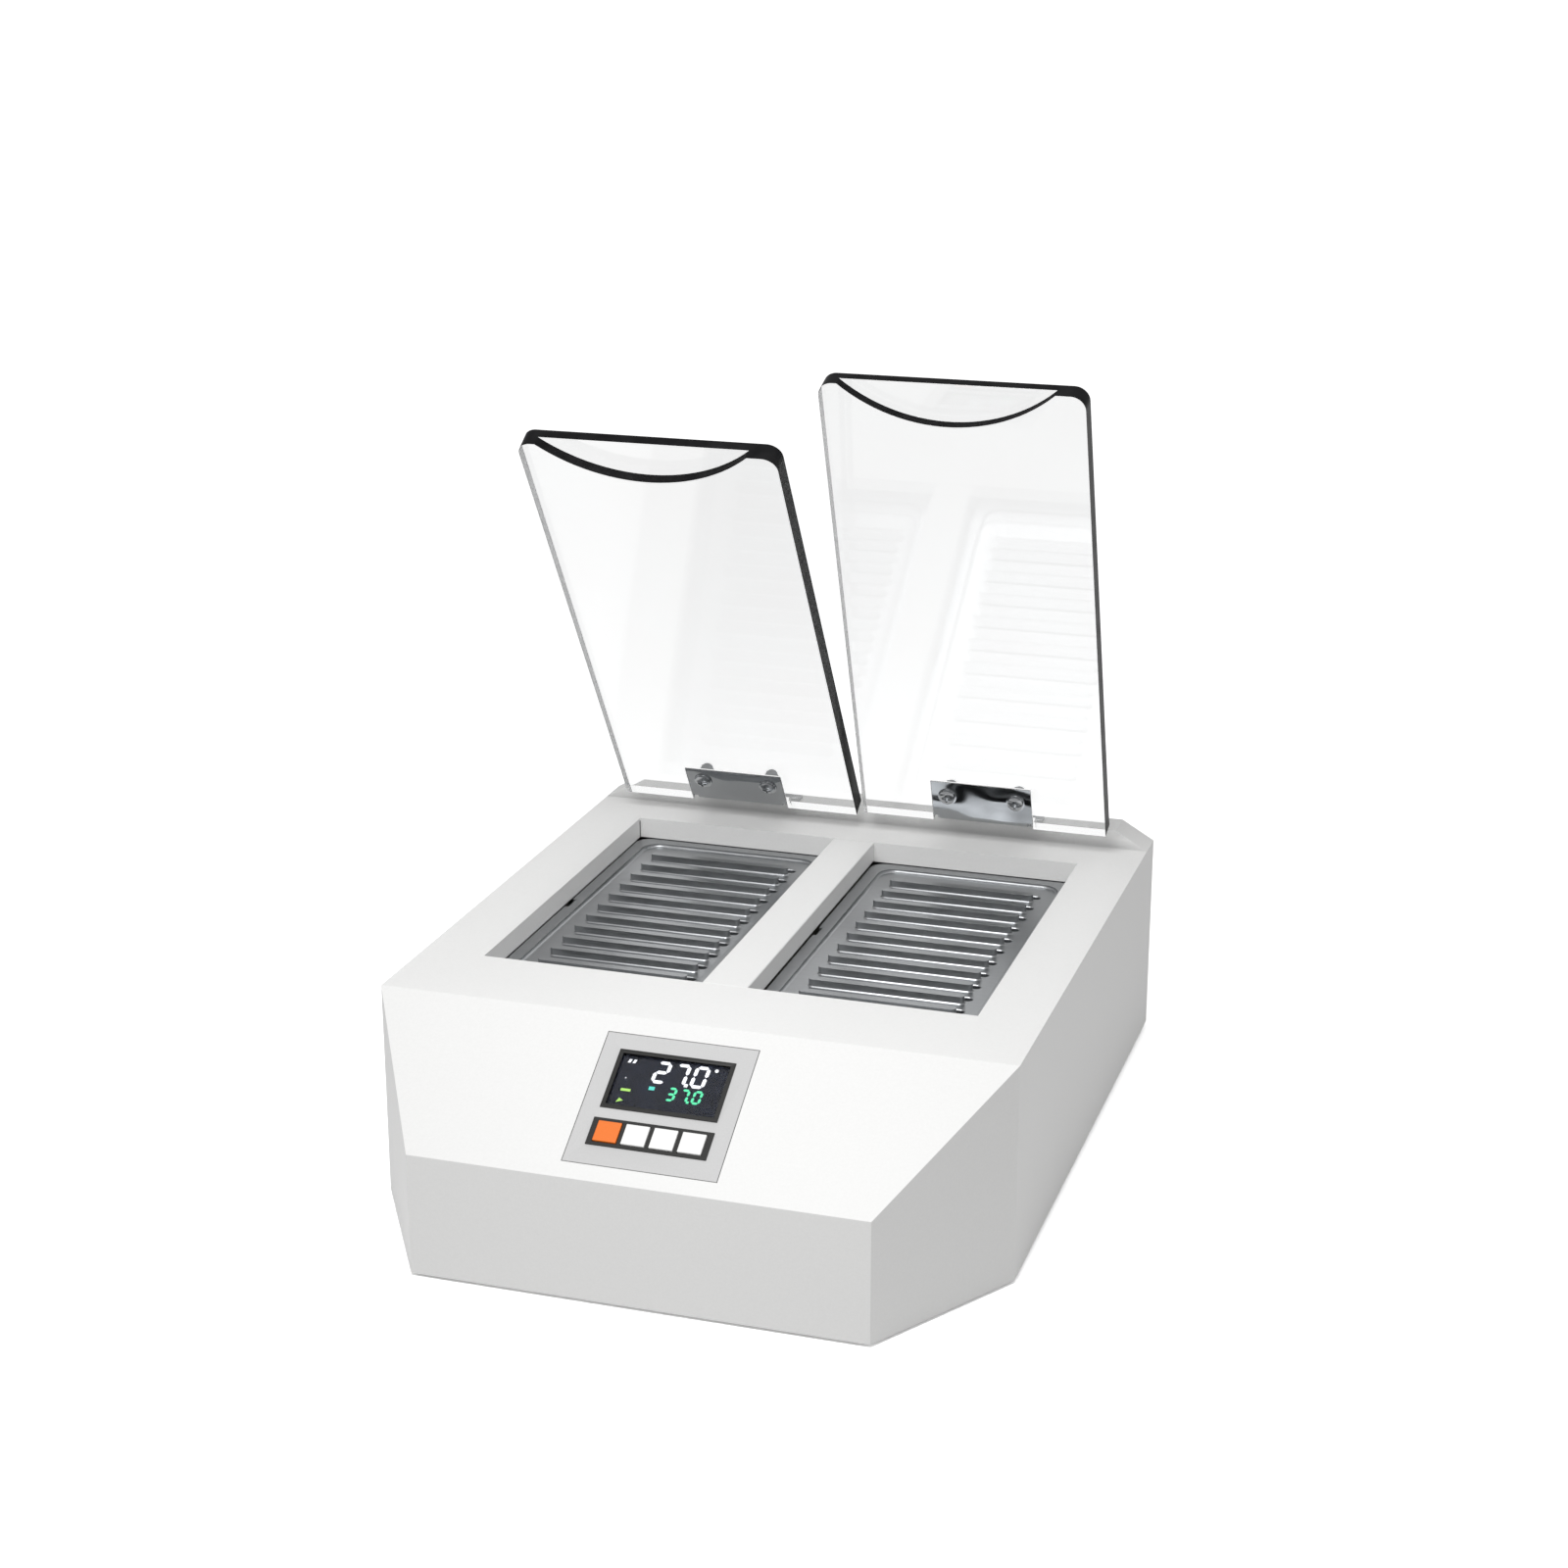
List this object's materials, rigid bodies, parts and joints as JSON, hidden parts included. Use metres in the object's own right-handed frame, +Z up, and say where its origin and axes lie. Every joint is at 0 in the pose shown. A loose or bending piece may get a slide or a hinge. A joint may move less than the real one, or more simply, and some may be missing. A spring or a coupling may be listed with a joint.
{
  "type": "gel card incubator",
  "caption": "Bench incubator with sloped control panel, slotted aluminium blocks in recessed wells and clear hinged lids.",
  "frame": {"origin": "middle of the housing's plan, on the surface that the feet stand on", "axes": "+Z up, +X to the user's right, +Y to the rear, so the control panel faces -Y"},
  "size_m": [0.29, 0.367, 0.3506],
  "materials": {
    "white_paint": "satin powder coat",
    "zinc_steel": "zinc plated",
    "milled_aluminium": "milled and bead blasted",
    "polished_steel": "polished",
    "screw_steel": "bright",
    "clear_acrylic": "clear, polished edges",
    "foot_rubber": "matt",
    "insulation_foam": "closed-cell foam",
    "heater_mat": "silicone rubber mat",
    "plate_grey": "fine matt",
    "frame_dark": "satin",
    "window_tint": "gloss",
    "display_blue": "gloss",
    "key_orange": "satin",
    "key_white": "satin",
    "board_green": "solder mask",
    "black_plastic": "satin",
    "brass": "plain",
    "coil_brown": "varnished",
    "sleeve_grey": "shrink sleeve",
    "ceramic_tan": "plain"
  },
  "bodies": {
    "base": {"housing": "white_paint", "well_divider": "white_paint", "base_plate": "zinc_steel", "base_screws": "screw_steel", "feet": "foot_rubber", "foot_screws": "screw_steel", "rear_panel": "white_paint", "rear_panel_screws": "screw_steel", "left_block": "milled_aluminium", "right_block": "milled_aluminium", "left_heater": "heater_mat", "right_heater": "heater_mat", "left_insulation": "insulation_foam", "right_insulation": "insulation_foam", "block_tray": "zinc_steel", "tray_posts": "brass", "block_screws": "screw_steel", "temperature_probes": "screw_steel", "thermal_cutouts": "ceramic_tan", "control_plate": "plate_grey", "display_frame": "frame_dark", "display_window": "window_tint", "display_module": "display_blue", "key_frame": "frame_dark", "control_board": "board_green", "push_switches": "black_plastic", "control_board_screws": "screw_steel", "power_board": "board_green", "power_board_posts": "brass", "transformer": "coil_brown", "capacitors": "sleeve_grey", "heat_sink": "milled_aluminium", "mains_inlet": "black_plastic", "inlet_pins": "brass", "switch_body": "black_plastic", "left_hinge_base": "polished_steel", "right_hinge_base": "polished_steel", "left_hinge_pin": "screw_steel", "right_hinge_pin": "screw_steel", "hinge_base_screws": "screw_steel"},
    "left_lid": {"left_lid": "clear_acrylic", "left_leaf": "polished_steel", "left_leaf_screws": "polished_steel", "left_washers": "polished_steel", "left_cap_nuts": "polished_steel"},
    "right_lid": {"right_lid": "clear_acrylic", "right_leaf": "polished_steel", "right_leaf_screws": "polished_steel", "right_washers": "polished_steel", "right_cap_nuts": "polished_steel"},
    "key_1": {"key_1": "key_orange"},
    "key_2": {"key_2": "key_white"},
    "key_3": {"key_3": "key_white"},
    "key_4": {"key_4": "key_white"},
    "rocker": {"switch_rocker": "black_plastic"}
  },
  "joints": [
    {"name": "left_lid_hinge", "type": "hinge", "parent": "base", "child": "left_lid", "pos_m": [-0.06445, 0.1583, 0.1135], "axis": [-1, 0, 0], "range_deg": [-57.4, 42.6]},
    {"name": "right_lid_hinge", "type": "hinge", "parent": "base", "child": "right_lid", "pos_m": [0.06445, 0.1583, 0.1135], "axis": [-1, 0, 0], "range_deg": [-70.1, 29.9]},
    {"name": "key_1_press", "type": "slide", "parent": "base", "child": "key_1", "axis": [0, 0.5238, -0.8519], "range_m": [0, 0.0005], "stiffness_N_per_m": 1500, "springref_m": -0.0006},
    {"name": "key_2_press", "type": "slide", "parent": "base", "child": "key_2", "axis": [0, 0.5238, -0.8519], "range_m": [0, 0.0005], "stiffness_N_per_m": 1500, "springref_m": -0.0006},
    {"name": "key_3_press", "type": "slide", "parent": "base", "child": "key_3", "axis": [0, 0.5238, -0.8519], "range_m": [0, 0.0005], "stiffness_N_per_m": 1500, "springref_m": -0.0006},
    {"name": "key_4_press", "type": "slide", "parent": "base", "child": "key_4", "axis": [0, 0.5238, -0.8519], "range_m": [0, 0.0005], "stiffness_N_per_m": 1500, "springref_m": -0.0006},
    {"name": "rocker_tilt", "type": "hinge", "parent": "base", "child": "rocker", "pos_m": [0.056, 0.178, 0.0435], "axis": [0, 0, 1], "range_deg": [-16, 0]}
  ]
}
